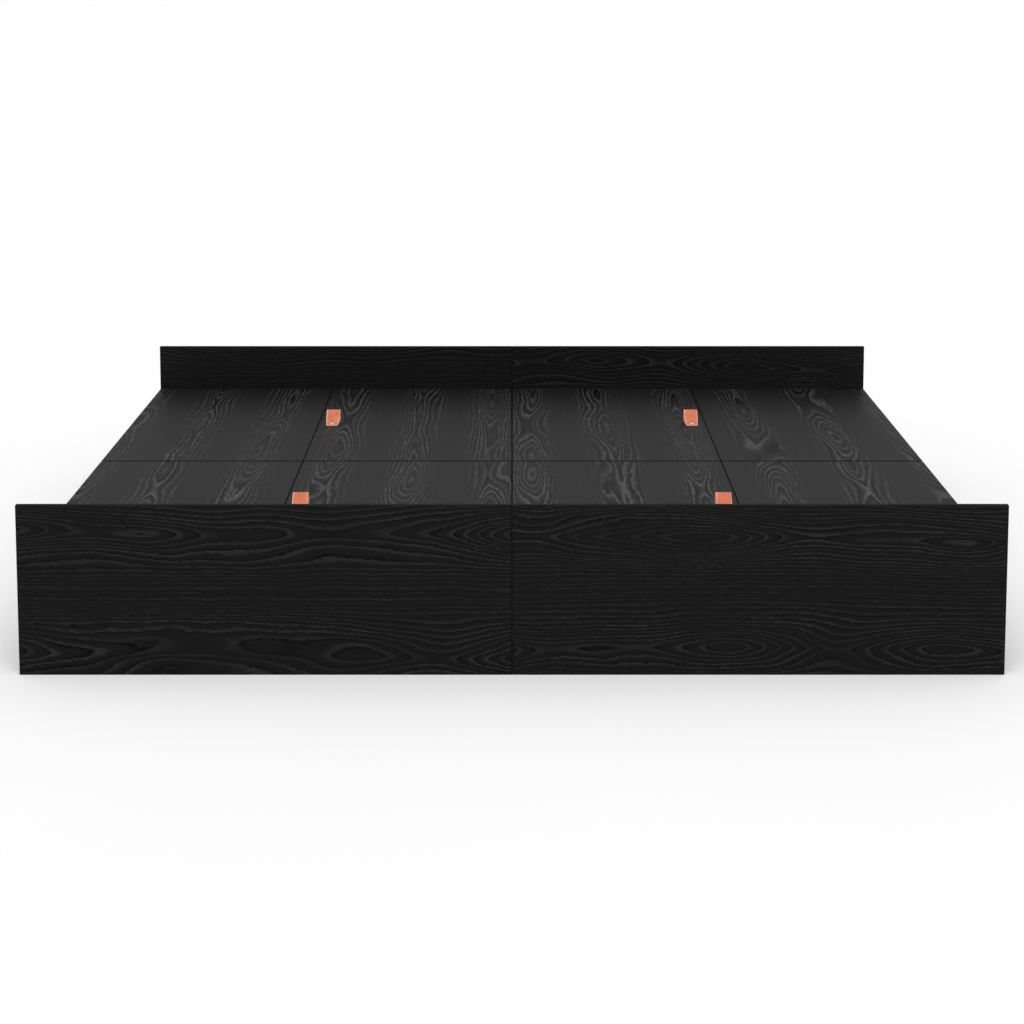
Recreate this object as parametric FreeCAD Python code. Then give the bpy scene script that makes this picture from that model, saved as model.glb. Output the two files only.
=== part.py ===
"""Platform bed with a lift-up centre store and four side drawers, in millimetres.

+X is the right-hand side seen from the foot, +Y points to the head end and +Z is up.
The origin is on the floor, in the middle of the bed. Every board is modelled for the
head right quarter (X and Y positive) and mirrored into the other three quarters.
"""

import FreeCAD, Part
import math
import os

os.makedirs("parts", exist_ok=True)

# ---------------------------------------------------------------- driving dimensions
WIDTH = 1835.0            # overall, along X
LENGTH = 2035.0           # overall, along Y
HEIGHT = 322.0            # top of the foot and head boards
BOARD = 15.0              # thickness of the oak-grained boards
DECK_TOP = 211.0          # height of the surface that the mattress lies on
PARTITION_X = 467.0       # middle of each long partition
SEAM = 2.0                # gap between a lid and the outer panel beside it
CENTRE_GAP = 3.5          # gap between the left and right lids
CROSS_GAP = 8.0           # gap between the foot and head panels at mid length
END_GAP = 1.0             # gap between a deck panel and an end board
JOINT_GAP = 1.0           # shadow line where two end boards meet, in both faces
JOINT_DEPTH = 5.0
ARRIS = 0.6               # chamfer on the boards' edges
BATTEN = 20.0             # square section of the support battens

# storage under the lids
BASE_PANEL = 9.0          # thickness of the compartment floor
BRACKET_LEG = 30.0        # angle bracket: leg length, width and thickness
BRACKET_WIDTH = 40.0
BRACKET_STEEL = 2.0
BRACKET_BOTTOM = 90.0

# drawers
DRAWER_TRAVEL = 340.0     # used only to check that the rear rollers stay on their rails
FRONT_FLOOR_GAP = 8.0
FRONT_TOP_GAP = 2.5
FRONT_SEAM = 2.0          # gap between the two drawer fronts of one side
DRAWER_WALL = 12.0
DRAWER_BACK_X = 495.0
DRAWER_BOTTOM_Z = 28.0
DRAWER_TOP_Z = 160.0
RUNNER_GAP = 12.5         # room for one runner beside the drawer
BOTTOM_PANEL = 5.0
GROOVE_DEPTH = 5.0
GROOVE_Z = 36.0
NOTCH_WIDTH = 140.0       # finger pull in the top edge of a drawer front
NOTCH_DEPTH = 24.0
NOTCH_SLOPE = 14.0
RAIL_X = 865.0            # middle of the batten that carries the deck's outer edge

# roller runners
STEEL = 1.2
RAIL_LIP = 8.5
RAIL_LENGTH = 390.0
ROLLER_AXLE_R = 3.0
FRONT_ROLLER_R = 9.0
REAR_ROLLER_R = 11.0

# leather pull tab on each lid
TAB_WIDTH = 32.0
TAB_X = 433.0             # middle of the tab
TAB_LEATHER = 1.6
TAB_TAIL = 54.0           # screwed end, measured footward from the lid's middle
TAB_STACK_END = 32.0      # where the upper layer leaves the lower one
LOOP_REACH = 20.0         # middle of the loop's round end
LOOP_R = 13.5             # outer radius of the loop's round end
SCREW_BACK = 43.0         # screw, measured footward from the lid's middle
SCREW_HEAD_R = 5.5
SCREW_HEAD_H = 2.0
SCREW_R = 2.0
SCREW_DEPTH = 12.0        # thread inside the lid

# ---------------------------------------------------------------- worked-out places
HALF_W = WIDTH / 2
HALF_L = LENGTH / 2
INNER_Y = HALF_L - BOARD                      # inner face of the end boards
DECK_UNDER = DECK_TOP - BOARD
PARTITION_IN = PARTITION_X - BOARD / 2
PARTITION_OUT = PARTITION_X + BOARD / 2
PANEL_END_Y = INNER_Y - END_GAP
PANEL_LENGTH = PANEL_END_Y - CROSS_GAP / 2
LID_MID_Y = PANEL_END_Y - PANEL_LENGTH / 2
FRONT_BACK_X = HALF_W - BOARD                 # back face of a drawer front
FRONT_TOP_Z = DECK_UNDER - FRONT_TOP_GAP
DRAWER_Y0 = BOARD / 2 + RUNNER_GAP            # outer faces of the two drawer sides
DRAWER_Y1 = INNER_Y - RUNNER_GAP
BASE_TOP_Z = BATTEN + BASE_PANEL

ENDS = {"foot": -1, "head": 1}
SIDES = {"left": -1, "right": 1}
Z_AXIS = FreeCAD.Vector(0, 0, 1)
ORIGIN = FreeCAD.Vector(0, 0, 0)


# ---------------------------------------------------------------- shape helpers
def box(x0, x1, y0, y1, z0, z1):
    """Plain box between two corners."""
    return Part.makeBox(x1 - x0, y1 - y0, z1 - z0, FreeCAD.Vector(x0, y0, z0))


def board(x0, x1, y0, y1, z0, z1, arris=ARRIS):
    """Board with a small chamfer on all twelve edges."""
    solid = box(x0, x1, y0, y1, z0, z1)
    return solid.makeChamfer(arris, solid.Edges)


def cylinder_y(x, z, y0, y1, radius):
    """Cylinder along Y between y0 and y1."""
    start = FreeCAD.Vector(x, min(y0, y1), z)
    return Part.makeCylinder(radius, abs(y1 - y0), start, FreeCAD.Vector(0, 1, 0))


def to_quarter(solid, end, side):
    """Mirror a head right solid into the quarter named by the two signs."""
    if side < 0:
        solid = solid.mirror(ORIGIN, FreeCAD.Vector(1, 0, 0))
    if end < 0:
        solid = solid.mirror(ORIGIN, FreeCAD.Vector(0, 1, 0))
    return solid


def save(node, solids):
    """Check a node's solids and write them to parts/NODE.step."""
    solids = solids if isinstance(solids, list) else [solids]
    flat = [one for shape in solids for one in shape.Solids]
    for one in flat:
        if not one.isValid() or one.Volume <= 0:
            raise RuntimeError("bad solid in " + node)
    shape = flat[0] if len(flat) == 1 else Part.makeCompound(flat)
    shape.exportStep("parts/" + node + ".step")
    print(node, len(flat), round(sum(one.Volume for one in flat) / 1000.0, 2), "cm3")


# ---------------------------------------------------------------- frame and cabinet
def end_board():
    """Half of a head or foot board, with a tongue that meets the other half's."""
    half = board(JOINT_GAP / 2, HALF_W, INNER_Y, HALF_L, 0, HEIGHT)
    tongue = box(0, JOINT_GAP, INNER_Y + JOINT_DEPTH, HALF_L - JOINT_DEPTH, ARRIS, HEIGHT - ARRIS)
    return half.fuse(tongue).removeSplitter()


def deck_panel():
    """Fixed outer deck panel over one drawer."""
    inner_x = PARTITION_X + SEAM / 2
    return board(inner_x, HALF_W, CROSS_GAP / 2, PANEL_END_Y, DECK_UNDER, DECK_TOP)


def partition():
    """Long partition between the centre store and a drawer."""
    return board(PARTITION_IN, PARTITION_OUT, 0, INNER_Y, 0, DECK_UNDER)


def spine_panel():
    """Centre board between the left and right compartments."""
    return board(-BOARD / 2, BOARD / 2, BOARD / 2, INNER_Y, 0, DECK_UNDER)


def cross_panel_centre():
    """Board across the centre store at mid length."""
    return board(-PARTITION_IN, PARTITION_IN, -BOARD / 2, BOARD / 2, 0, DECK_UNDER)


def cross_panel_side():
    """Board between the two drawers of one side."""
    edge = FRONT_BACK_X - SEAM
    return board(PARTITION_OUT, edge, -BOARD / 2, BOARD / 2, 0, DECK_UNDER)


def compartment_base():
    """Thin floor panel of one compartment, lying on the floor battens."""
    return box(BOARD / 2, PARTITION_IN, BOARD / 2, INNER_Y, BATTEN, BASE_TOP_Z)


def quarter_battens():
    """Square battens of one quarter: under the base, at both panel ends and at the rail."""
    low, high = DECK_UNDER - BATTEN, DECK_UNDER
    spine_side = BOARD / 2
    rail = (RAIL_X - BATTEN / 2, RAIL_X + BATTEN / 2)
    battens = [
        box(spine_side, spine_side + BATTEN, BOARD / 2, INNER_Y, 0, BATTEN),
        box(PARTITION_IN - BATTEN, PARTITION_IN, BOARD / 2, INNER_Y, 0, BATTEN),
        box(rail[0], rail[1], BOARD / 2, INNER_Y, low, high),
    ]
    for y0 in (BOARD / 2, INNER_Y - BATTEN):
        battens.append(box(spine_side, PARTITION_IN, y0, y0 + BATTEN, low, high))
        battens.append(box(PARTITION_OUT, rail[0], y0, y0 + BATTEN, low, high))
    return battens


def angle_bracket(x, y, x_sign, y_sign):
    """Steel angle in the vertical corner at (x, y), with its legs along both walls."""
    z0, z1 = BRACKET_BOTTOM, BRACKET_BOTTOM + BRACKET_WIDTH
    leg, steel = BRACKET_LEG, BRACKET_STEEL
    outline = [(0, 0), (leg, 0), (leg, steel), (steel, steel), (steel, leg), (0, leg), (0, 0)]
    points = [FreeCAD.Vector(x + x_sign * u, y + y_sign * v, z0) for u, v in outline]
    return Part.Face(Part.makePolygon(points)).extrude(Z_AXIS * (z1 - z0))


def quarter_brackets():
    """Four angle brackets, one in each corner of one compartment."""
    corners = [(BOARD / 2, BOARD / 2, 1, 1), (PARTITION_IN, BOARD / 2, -1, 1)]
    corners += [(BOARD / 2, INNER_Y, 1, -1), (PARTITION_IN, INNER_Y, -1, -1)]
    return [angle_bracket(*corner) for corner in corners]


# ---------------------------------------------------------------- lids and pull tabs
def tab_screw(y_mid):
    """Pan-head screw that clamps the tab's two layers to the lid."""
    base = DECK_TOP + 2 * TAB_LEATHER
    y = y_mid - SCREW_BACK
    head = Part.makeCylinder(SCREW_HEAD_R, SCREW_HEAD_H, FreeCAD.Vector(TAB_X, y, base))
    shank_foot = FreeCAD.Vector(TAB_X, y, DECK_TOP - SCREW_DEPTH)
    shank = Part.makeCylinder(SCREW_R, base - shank_foot.z, shank_foot)
    return head.fuse(shank).removeSplitter()


def loop_outline(y_mid, inset):
    """Teardrop outline of the folded strap in the Y-Z plane, moved inwards by inset."""
    radius = LOOP_R - inset
    centre_y, centre_z = LOOP_REACH, LOOP_R
    # the sloping layer is tangent to the round end and starts where the stack ends
    run = LOOP_REACH + TAB_STACK_END
    rise = LOOP_R - 2 * TAB_LEATHER
    reach = math.hypot(run, rise)
    slope = math.atan2(rise, run) + math.asin(LOOP_R / reach)
    top = (centre_y - radius * math.sin(slope), centre_z + radius * math.cos(slope))
    far = (centre_y + radius, centre_z)
    below = (centre_y, inset)

    def point(y, z):
        return FreeCAD.Vector(TAB_X - TAB_WIDTH / 2, y_mid + y, DECK_TOP + z)

    arc = Part.Arc(point(*below), point(*far), point(*top)).toShape()
    if inset == 0:
        tail = [(-TAB_STACK_END, 2 * TAB_LEATHER), (-TAB_TAIL, 2 * TAB_LEATHER), (-TAB_TAIL, 0)]
    else:
        # the two inner faces meet in a sharp fold where the layers part
        fold = top[0] - (top[1] - inset) / math.tan(slope)
        tail = [(fold, inset)]
    corners = [top] + tail + [below]
    lines = [Part.LineSegment(point(*a), point(*b)).toShape() for a, b in zip(corners, corners[1:])]
    return Part.Face(Part.Wire([arc] + lines))


def pull_tab(y_mid):
    """Leather strap folded into a standing loop, screwed down at its footward end."""
    ring = loop_outline(y_mid, 0).cut(loop_outline(y_mid, TAB_LEATHER))
    return ring.extrude(FreeCAD.Vector(TAB_WIDTH, 0, 0)).cut(tab_screw(y_mid))


def lid(y_mid):
    """Loose lid over one compartment, with the blind hole of its tab screw."""
    low, high = y_mid - PANEL_LENGTH / 2, y_mid + PANEL_LENGTH / 2
    panel = board(CENTRE_GAP / 2, PARTITION_X - SEAM / 2, low, high, DECK_UNDER, DECK_TOP)
    return panel.cut(tab_screw(y_mid))


# ---------------------------------------------------------------- drawers
def drawer_front():
    """Front with a finger notch in its top edge and a groove for the bottom panel."""
    low_y, high_y = FRONT_SEAM / 2, PANEL_END_Y
    front = board(FRONT_BACK_X, HALF_W, low_y, high_y, FRONT_FLOOR_GAP, FRONT_TOP_Z)
    middle = (low_y + high_y) / 2
    half, slope = NOTCH_WIDTH / 2, NOTCH_SLOPE
    floor_z, top_z = FRONT_TOP_Z - NOTCH_DEPTH, FRONT_TOP_Z + 1
    outline = [(-half, top_z), (-half + slope, floor_z), (half - slope, floor_z), (half, top_z)]
    points = [FreeCAD.Vector(FRONT_BACK_X - 1, middle + y, z) for y, z in outline]
    wedge = Part.Face(Part.makePolygon(points + points[:1]))
    return front.cut(wedge.extrude(FreeCAD.Vector(BOARD + 2, 0, 0))).cut(bottom_panel())


def bottom_panel():
    """Thin panel that sits in the grooves of the front and both sides."""
    low = DRAWER_Y0 + DRAWER_WALL - GROOVE_DEPTH
    high = DRAWER_Y1 - DRAWER_WALL + GROOVE_DEPTH
    edge = FRONT_BACK_X + GROOVE_DEPTH
    return box(DRAWER_BACK_X, edge, low, high, GROOVE_Z, GROOVE_Z + BOTTOM_PANEL)


def drawer_side(y0):
    """Side board of a drawer, grooved for the bottom panel."""
    span = (y0, y0 + DRAWER_WALL)
    side = board(DRAWER_BACK_X, FRONT_BACK_X, *span, DRAWER_BOTTOM_Z, DRAWER_TOP_Z)
    return side.cut(bottom_panel())


def drawer_back():
    """Back board of a drawer, standing on the bottom panel between the sides."""
    low, high = DRAWER_Y0 + DRAWER_WALL, DRAWER_Y1 - DRAWER_WALL
    back_x = (DRAWER_BACK_X, DRAWER_BACK_X + DRAWER_WALL)
    return board(*back_x, low, high, GROOVE_Z + BOTTOM_PANEL, DRAWER_TOP_Z)


# ---------------------------------------------------------------- roller runners
def cabinet_rail(wall_y, inward):
    """Channel on a cabinet wall, with the front roller that carries the drawer."""
    def span(near, far):
        return sorted((wall_y + inward * near, wall_y + inward * far))

    x0 = DRAWER_BACK_X + 2
    x1 = x0 + RAIL_LENGTH
    lip_z = DRAWER_BOTTOM_Z - 6
    top_z = lip_z + STEEL + 2 * REAR_ROLLER_R + 1.5
    web = box(x0, x1, *span(0, STEEL), FRONT_FLOOR_GAP, top_z + STEEL)
    lips = [box(x0, x1, *span(STEEL, STEEL + RAIL_LIP), z, z + STEEL) for z in (lip_z, top_z)]
    rail = web.fuse(lips[0]).fuse(lips[1]).removeSplitter()
    x = x1 - 1.5 * FRONT_ROLLER_R
    z = DRAWER_BOTTOM_Z - STEEL - FRONT_ROLLER_R - 0.3
    roller = cylinder_y(x, z, *span(RUNNER_GAP - 0.5, RUNNER_GAP + 8), FRONT_ROLLER_R)
    axle = cylinder_y(x, z, *span(STEEL, RUNNER_GAP - 0.5), ROLLER_AXLE_R)
    return [rail, roller.fuse(axle).removeSplitter()]


def drawer_rail(side_y, outward):
    """Angle under a drawer side, with the rear roller that runs in the channel."""
    def span(near, far):
        return sorted((side_y + outward * near, side_y + outward * far))

    x0 = DRAWER_BACK_X + 4
    x1 = x0 + RAIL_LENGTH - 5
    flange = box(x0, x1, *span(0, STEEL), DRAWER_BOTTOM_Z - STEEL, DRAWER_BOTTOM_Z + 30)
    foot = box(x0, x1, *span(-DRAWER_WALL, 0), DRAWER_BOTTOM_Z - STEEL, DRAWER_BOTTOM_Z)
    angle = flange.fuse(foot).removeSplitter()
    x = x0 + REAR_ROLLER_R + 4
    z = DRAWER_BOTTOM_Z - 6 + STEEL + REAR_ROLLER_R + 0.5
    roller = cylinder_y(x, z, *span(STEEL + 2, STEEL + 8.5), REAR_ROLLER_R)
    axle = cylinder_y(x, z, *span(STEEL, STEEL + 2), ROLLER_AXLE_R)
    return [angle, roller.fuse(axle).removeSplitter()]


# ---------------------------------------------------------------- write every node
quarters = [(end, side) for end in ENDS for side in SIDES]
quarter_pieces = {
    "board": end_board(),
    "deck_panel": deck_panel(),
    "partition": partition(),
    "compartment_base": compartment_base(),
    "drawer_front": drawer_front(),
    "drawer_back": drawer_back(),
    "drawer_bottom": bottom_panel(),
    "drawer_mid_side": drawer_side(DRAWER_Y0),
    "drawer_end_side": drawer_side(DRAWER_Y1 - DRAWER_WALL),
    "drawer_runners": Part.makeCompound(drawer_rail(DRAWER_Y0, -1) + drawer_rail(DRAWER_Y1, 1)),
}
shared_pieces = {
    "support_battens": quarter_battens(),
    "corner_brackets": quarter_brackets(),
    "cabinet_runners": cabinet_rail(BOARD / 2, 1) + cabinet_rail(INNER_Y, -1),
}

for end, side in quarters:
    end_sign, side_sign = ENDS[end], SIDES[side]
    for name, solid in quarter_pieces.items():
        node = f"{end}_board_{side}" if name == "board" else f"{name}_{end}_{side}"
        save(node, to_quarter(solid, end_sign, side_sign))
    y_mid = end_sign * LID_MID_Y
    save(f"lid_{end}_{side}", to_quarter(lid(y_mid), 1, side_sign))
    save(f"pull_tab_{end}_{side}", to_quarter(pull_tab(y_mid), 1, side_sign))
    save(f"tab_screw_{end}_{side}", to_quarter(tab_screw(y_mid), 1, side_sign))

for name, solids in shared_pieces.items():
    placed = [to_quarter(solid, ENDS[e], SIDES[s]) for e, s in quarters for solid in solids]
    save(name, placed)

for end, sign in ENDS.items():
    save(f"spine_panel_{end}", to_quarter(spine_panel(), sign, 1))
for side, sign in SIDES.items():
    save(f"cross_panel_{side}", to_quarter(cross_panel_side(), 1, sign))
save("cross_panel_centre", cross_panel_centre())

rear_roller_x = DRAWER_BACK_X + 8 + REAR_ROLLER_R + DRAWER_TRAVEL
print("rear roller at full travel", rear_roller_x, "rail ends", DRAWER_BACK_X + 2 + RAIL_LENGTH)
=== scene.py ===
"""Looks of a black oak platform bed with a lift-up centre store and four side drawers.

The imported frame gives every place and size. The broad boards, the leather loops and their
screws, the battens, the brackets and the runners are built here; the other boards keep
their solids and are dressed. Lengths are millimetres in the classes and metres in the meshes.
"""

from __future__ import annotations

import logging
import math
from dataclasses import dataclass, field, replace
from enum import Enum
from typing import Any, Mapping, Sequence

import bpy
import numpy as np
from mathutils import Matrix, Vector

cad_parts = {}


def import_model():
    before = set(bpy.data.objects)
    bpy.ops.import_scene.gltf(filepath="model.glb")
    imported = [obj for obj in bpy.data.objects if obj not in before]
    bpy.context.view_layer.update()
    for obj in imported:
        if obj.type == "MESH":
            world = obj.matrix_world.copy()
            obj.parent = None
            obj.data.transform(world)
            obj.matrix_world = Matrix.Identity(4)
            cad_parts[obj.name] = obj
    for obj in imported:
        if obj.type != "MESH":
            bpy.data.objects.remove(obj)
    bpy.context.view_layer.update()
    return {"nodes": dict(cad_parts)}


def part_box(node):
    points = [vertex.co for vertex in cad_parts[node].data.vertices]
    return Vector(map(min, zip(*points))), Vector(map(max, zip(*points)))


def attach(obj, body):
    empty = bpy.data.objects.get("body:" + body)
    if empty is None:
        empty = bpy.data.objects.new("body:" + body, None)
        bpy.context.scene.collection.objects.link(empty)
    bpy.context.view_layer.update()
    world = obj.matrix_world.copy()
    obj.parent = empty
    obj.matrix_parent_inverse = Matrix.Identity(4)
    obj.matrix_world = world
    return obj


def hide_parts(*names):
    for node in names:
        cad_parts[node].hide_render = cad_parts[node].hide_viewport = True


LOG = logging.getLogger("platform_bed")
MM = 0.001


class End(Enum):
    """The two ends of the bed and the sign of Y on each."""

    FOOT = -1
    HEAD = 1


class Side(Enum):
    """The two long sides of the bed, seen from the foot, and the sign of X on each."""

    LEFT = -1
    RIGHT = 1


class Axis(Enum):
    """Axes of the frame, as indices into a point."""

    X = 0
    Y = 1
    Z = 2


class Source(Enum):
    """Where a finish reads its place from."""

    UV = "UV"
    OBJECT = "Object"


def quarter(end: End, side: Side) -> str:
    """Return the ending that the names of one quarter's nodes share."""
    return f"{end.name.lower()}_{side.name.lower()}"


# ------------------------------------------------------------------ colours and nodes
def linear(code: str) -> tuple[float, float, float, float]:
    """Turn an sRGB hex colour into linear light.

    Args:
        code: six hex digits.

    Returns:
        Red, green, blue and an alpha of one.
    """
    values = np.array([int(code[i : i + 2], 16) / 255 for i in (0, 2, 4)])
    light = np.where(values <= 0.04045, values / 12.92, ((values + 0.055) / 1.055) ** 2.4)
    return (*light.tolist(), 1.0)


def add_node(
    tree: bpy.types.NodeTree,
    kind: str,
    inputs: Mapping[int | str, Any] | None = None,
    **settings: Any,
) -> bpy.types.Node:
    """Add a node with its settings, values and links.

    Args:
        tree: the node tree.
        kind: the node's type without its common beginning, such as TexNoise.
        inputs: values, or sockets to link from, by the input's name or number.
        settings: properties of the node itself.

    Returns:
        The new node.
    """
    made = tree.nodes.new(f"ShaderNode{kind}")
    for key, value in settings.items():
        setattr(made, key, value)
    for key, value in (inputs or {}).items():
        if isinstance(value, bpy.types.NodeSocket):
            tree.links.new(value, made.inputs[key])
        else:
            made.inputs[key].default_value = value
    return made


@dataclass(frozen=True)
class Finish:
    """A surface finish that makes its material once.

    Attributes:
        label: the material's name.
        slot: the record's material slot that it belongs to; not used.
        roughness: typical roughness of the surface.
        specular: specular level, 0.5 for a plain dielectric of the default IOR.
        metallic: 1 for bare metal.
    """

    label: str
    slot: str
    roughness: float = 0.5
    specular: float = 0.5
    metallic: float = field(default=0.0, kw_only=True)

    def material(self) -> bpy.types.Material:
        """Return the finish's material, made on first use.

        Returns:
            The material.
        """
        made = bpy.data.materials.get(self.label)
        if made is None:
            made = bpy.data.materials.new(self.label)
            made.use_nodes = True
            tree = made.node_tree
            shader = tree.nodes["Principled BSDF"]
            shader.inputs["Roughness"].default_value = self.roughness
            shader.inputs["Specular IOR Level"].default_value = self.specular
            shader.inputs["Metallic"].default_value = self.metallic
            for name, socket in self.pattern(tree).items():
                tree.links.new(socket, shader.inputs[name])
        return made

    def pattern(self, tree: bpy.types.NodeTree) -> dict[str, bpy.types.NodeSocket]:
        """Add the finish's pattern to the tree.

        Args:
            tree: the material's node tree.

        Returns:
            The sockets that feed the shader, by the name of its input.
        """
        raise NotImplementedError


def place_socket(tree: bpy.types.NodeTree, source: Source, along: Axis) -> bpy.types.NodeSocket:
    """Return a vector with X along the grain and Y across it, in metres.

    A UV map already holds that. Object coordinates are regrouped: the axis along the
    grain comes first, and the two others are summed, so that a pattern goes round edges.

    Args:
        tree: the node tree.
        source: UV map or object coordinates.
        along: the axis of the grain, for object coordinates.

    Returns:
        The vector's socket.
    """
    place = add_node(tree, "TexCoord").outputs[source.value]
    if source is Source.UV:
        return place
    parts = add_node(tree, "SeparateXYZ", {0: place}).outputs
    others = [parts[axis.value] for axis in Axis if axis is not along]
    across = add_node(tree, "Math", {0: others[0], 1: others[1]}, operation="ADD").outputs[0]
    return add_node(tree, "CombineXYZ", {0: parts[along.value], 1: across}).outputs[0]


def stretched_noise(
    tree: bpy.types.NodeTree,
    place: bpy.types.NodeSocket,
    along_mm: float,
    across_mm: float,
    detail: float = 1.0,
) -> bpy.types.NodeSocket:
    """Return noise whose blobs are along_mm by across_mm.

    Args:
        tree: the node tree.
        place: X along the grain, Y across it, in metres.
        along_mm: size of a blob along the grain.
        across_mm: size of a blob across the grain.
        detail: octaves of finer noise.

    Returns:
        Noise from 0 to 1.
    """
    scale = (1 / (along_mm * MM), 1 / (across_mm * MM), 1.0)
    mapped = add_node(tree, "Mapping", {"Vector": place, "Scale": scale}).outputs[0]
    inputs = {"Vector": mapped, "Scale": 1.0, "Detail": detail}
    return add_node(tree, "TexNoise", inputs, noise_dimensions="2D").outputs[0]


@dataclass(frozen=True)
class OakFoil(Finish):
    """Black melamine foil with a pressed oak grain on particle board, satin.

    The eye sees a near-black board whose flat-sawn rings are a little lighter and
    glossier: columns of cathedral arches and islands with fine straight lines between.

    Attributes:
        ground: colour of the dark late wood at the end of each ring.
        ring: colour of the open early wood at its start.
        rest: where the plain ground lies between those two colours.
        gloss_swing: how much rougher the dark line is than the early wood.
        spacing_mm: distance between rings.
        column_mm: distance between neighbouring columns of arches.
        stretch: length of every feature along the grain, 1 on the end boards.
        late: share of a ring's width that its dark late wood takes.
        between: share of the print's strength that is left between two columns.
        fray: reach of the finest waves in the lines, 1 on the end boards.
        tip_mm: roundness of an arch's tip.
        pore_mm: length and width of a pore, twice as wide as a real one so that it shows.
        relief_mm: height of the pressed grain.
        source: where the pattern is placed from.
        along: axis of the grain for object coordinates.
    """

    ground: str = "020202"
    ring: str = "262626"
    rest: float = 0.26
    gloss_swing: float = 0.16
    spacing_mm: float = 7.6
    column_mm: float = 214.0
    stretch: float = 1.0
    late: float = 0.08
    between: float = 0.6
    fray: float = 1.0
    tip_mm: float = 9.0
    pore_mm: tuple[float, float] = (14.0, 0.9)
    relief_mm: float = 0.12
    source: Source = Source.UV
    along: Axis = Axis.X

    def from_pith(
        self, tree: bpy.types.NodeTree, place: bpy.types.NodeSocket
    ) -> bpy.types.NodeSocket:
        """Return the distance across the grain from the middle of the nearest column.

        It is a triangle wave of the place across the grain, which noise first moves:
        the columns sway, the lines crowd and spread, flame, flicker and end raggedly.

        Args:
            tree: the node tree.
            place: X along the grain, Y across it, in metres.

        Returns:
            The distance in metres.
        """
        moves = (  # size along and across the grain, reach, octaves
            (1100, 1.6 * self.column_mm, 40.0, 0.0),
            (900, 42, 15.0, 0.0),
            (150, 46, 8.0, 1.0),
            (46, 10, 2.6 * self.fray, 1.0),
            (17, 1.7, 2.6 * self.fray, 0.0),
        )
        across = add_node(tree, "SeparateXYZ", {0: place}).outputs[1]
        middle = -sum(reach for _, _, reach, _ in moves) / 2 * MM
        across = add_node(tree, "Math", {0: across, 1: middle}, operation="ADD").outputs[0]
        for along_mm, across_mm, reach, octaves in moves:
            noise = stretched_noise(tree, place, along_mm * self.stretch, across_mm, octaves)
            inputs = {0: noise, 1: reach * MM, 2: across}
            across = add_node(tree, "Math", inputs, operation="MULTIPLY_ADD").outputs[0]
        half = self.column_mm / 2 * MM
        return add_node(tree, "Math", {0: across, 1: half}, operation="PINGPONG").outputs[0]

    def ring_phase(
        self,
        tree: bpy.types.NodeTree,
        place: bpy.types.NodeSocket,
        from_pith: bpy.types.NodeSocket,
        near: bpy.types.NodeSocket,
    ) -> bpy.types.NodeSocket:
        """Return how many rings lie between a point and the pith of its column.

        The rings are hyperbolas, sqrt(t^2 + e^2) + d, with t the distance from the
        column's middle, e the roundness of an arch's tip and d a drift along the grain.
        The drift closes rings into islands and opens them into arches, and fades out
        sideways so that the lines between two columns run straight.

        Args:
            tree: the node tree.
            place: X along the grain, Y across it, in metres.
            from_pith: distance from the column's middle, in metres.
            near: 1 in the middle of a column and 0 between columns.

        Returns:
            The count of rings, not rounded.
        """
        island_mm, swing, middle = 400 * self.stretch, 125 * MM, -62 * MM
        tip = add_node(tree, "CombineXYZ", {0: from_pith, 1: self.tip_mm * MM}).outputs[0]
        arm = add_node(tree, "VectorMath", {0: tip}, operation="LENGTH").outputs[1]
        drift = stretched_noise(tree, place, island_mm, 0.9 * self.column_mm, 1.0)
        inputs = {0: drift, 1: swing, 2: middle}
        drift = add_node(tree, "Math", inputs, operation="MULTIPLY_ADD").outputs[0]
        inputs = {0: drift, 1: near, 2: arm}
        reach = add_node(tree, "Math", inputs, operation="MULTIPLY_ADD").outputs[0]
        spacing = self.spacing_mm * MM
        return add_node(tree, "Math", {0: reach, 1: spacing}, operation="DIVIDE").outputs[0]

    def strength(
        self,
        tree: bpy.types.NodeTree,
        place: bpy.types.NodeSocket,
        phase: bpy.types.NodeSocket,
        near: bpy.types.NodeSocket,
    ) -> bpy.types.NodeSocket:
        """Return how strongly the rings are printed, from 0 to 1.

        No two rings are equally strong, the print fades over a hand's breadth, it is
        fainter between the columns, and dashes along the grain break it up.

        Args:
            tree: the node tree.
            place: X along the grain, Y across it, in metres.
            phase: count of rings, not rounded.
            near: 1 in the middle of a column and 0 between columns.

        Returns:
            The strength's socket.
        """
        count = add_node(tree, "Math", {0: phase}, operation="FLOOR").outputs[0]
        chance = add_node(tree, "TexWhiteNoise", {"W": count}, noise_dimensions="1D").outputs[0]
        fade = stretched_noise(tree, place, 210 * self.stretch, 60, 2.0)
        dash = stretched_noise(tree, place, 24 * self.stretch, 2.4, 1.0)
        limits = (  # what varies the print, its lowest and highest level, least strength
            (chance, 0.0, 0.8, 0.5),
            (fade, 0.35, 0.55, 0.55),
            (dash, 0.36, 0.52, 0.5),
            (near, 0.1, 0.6, self.between),
        )
        total: bpy.types.NodeSocket | float = 1.0
        for value, low, high, least in limits:
            share = add_node(tree, "MapRange", {0: value, 1: low, 2: high, 3: least}).outputs[0]
            total = add_node(tree, "Math", {0: share, 1: total}, operation="MULTIPLY").outputs[0]
        return total

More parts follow.
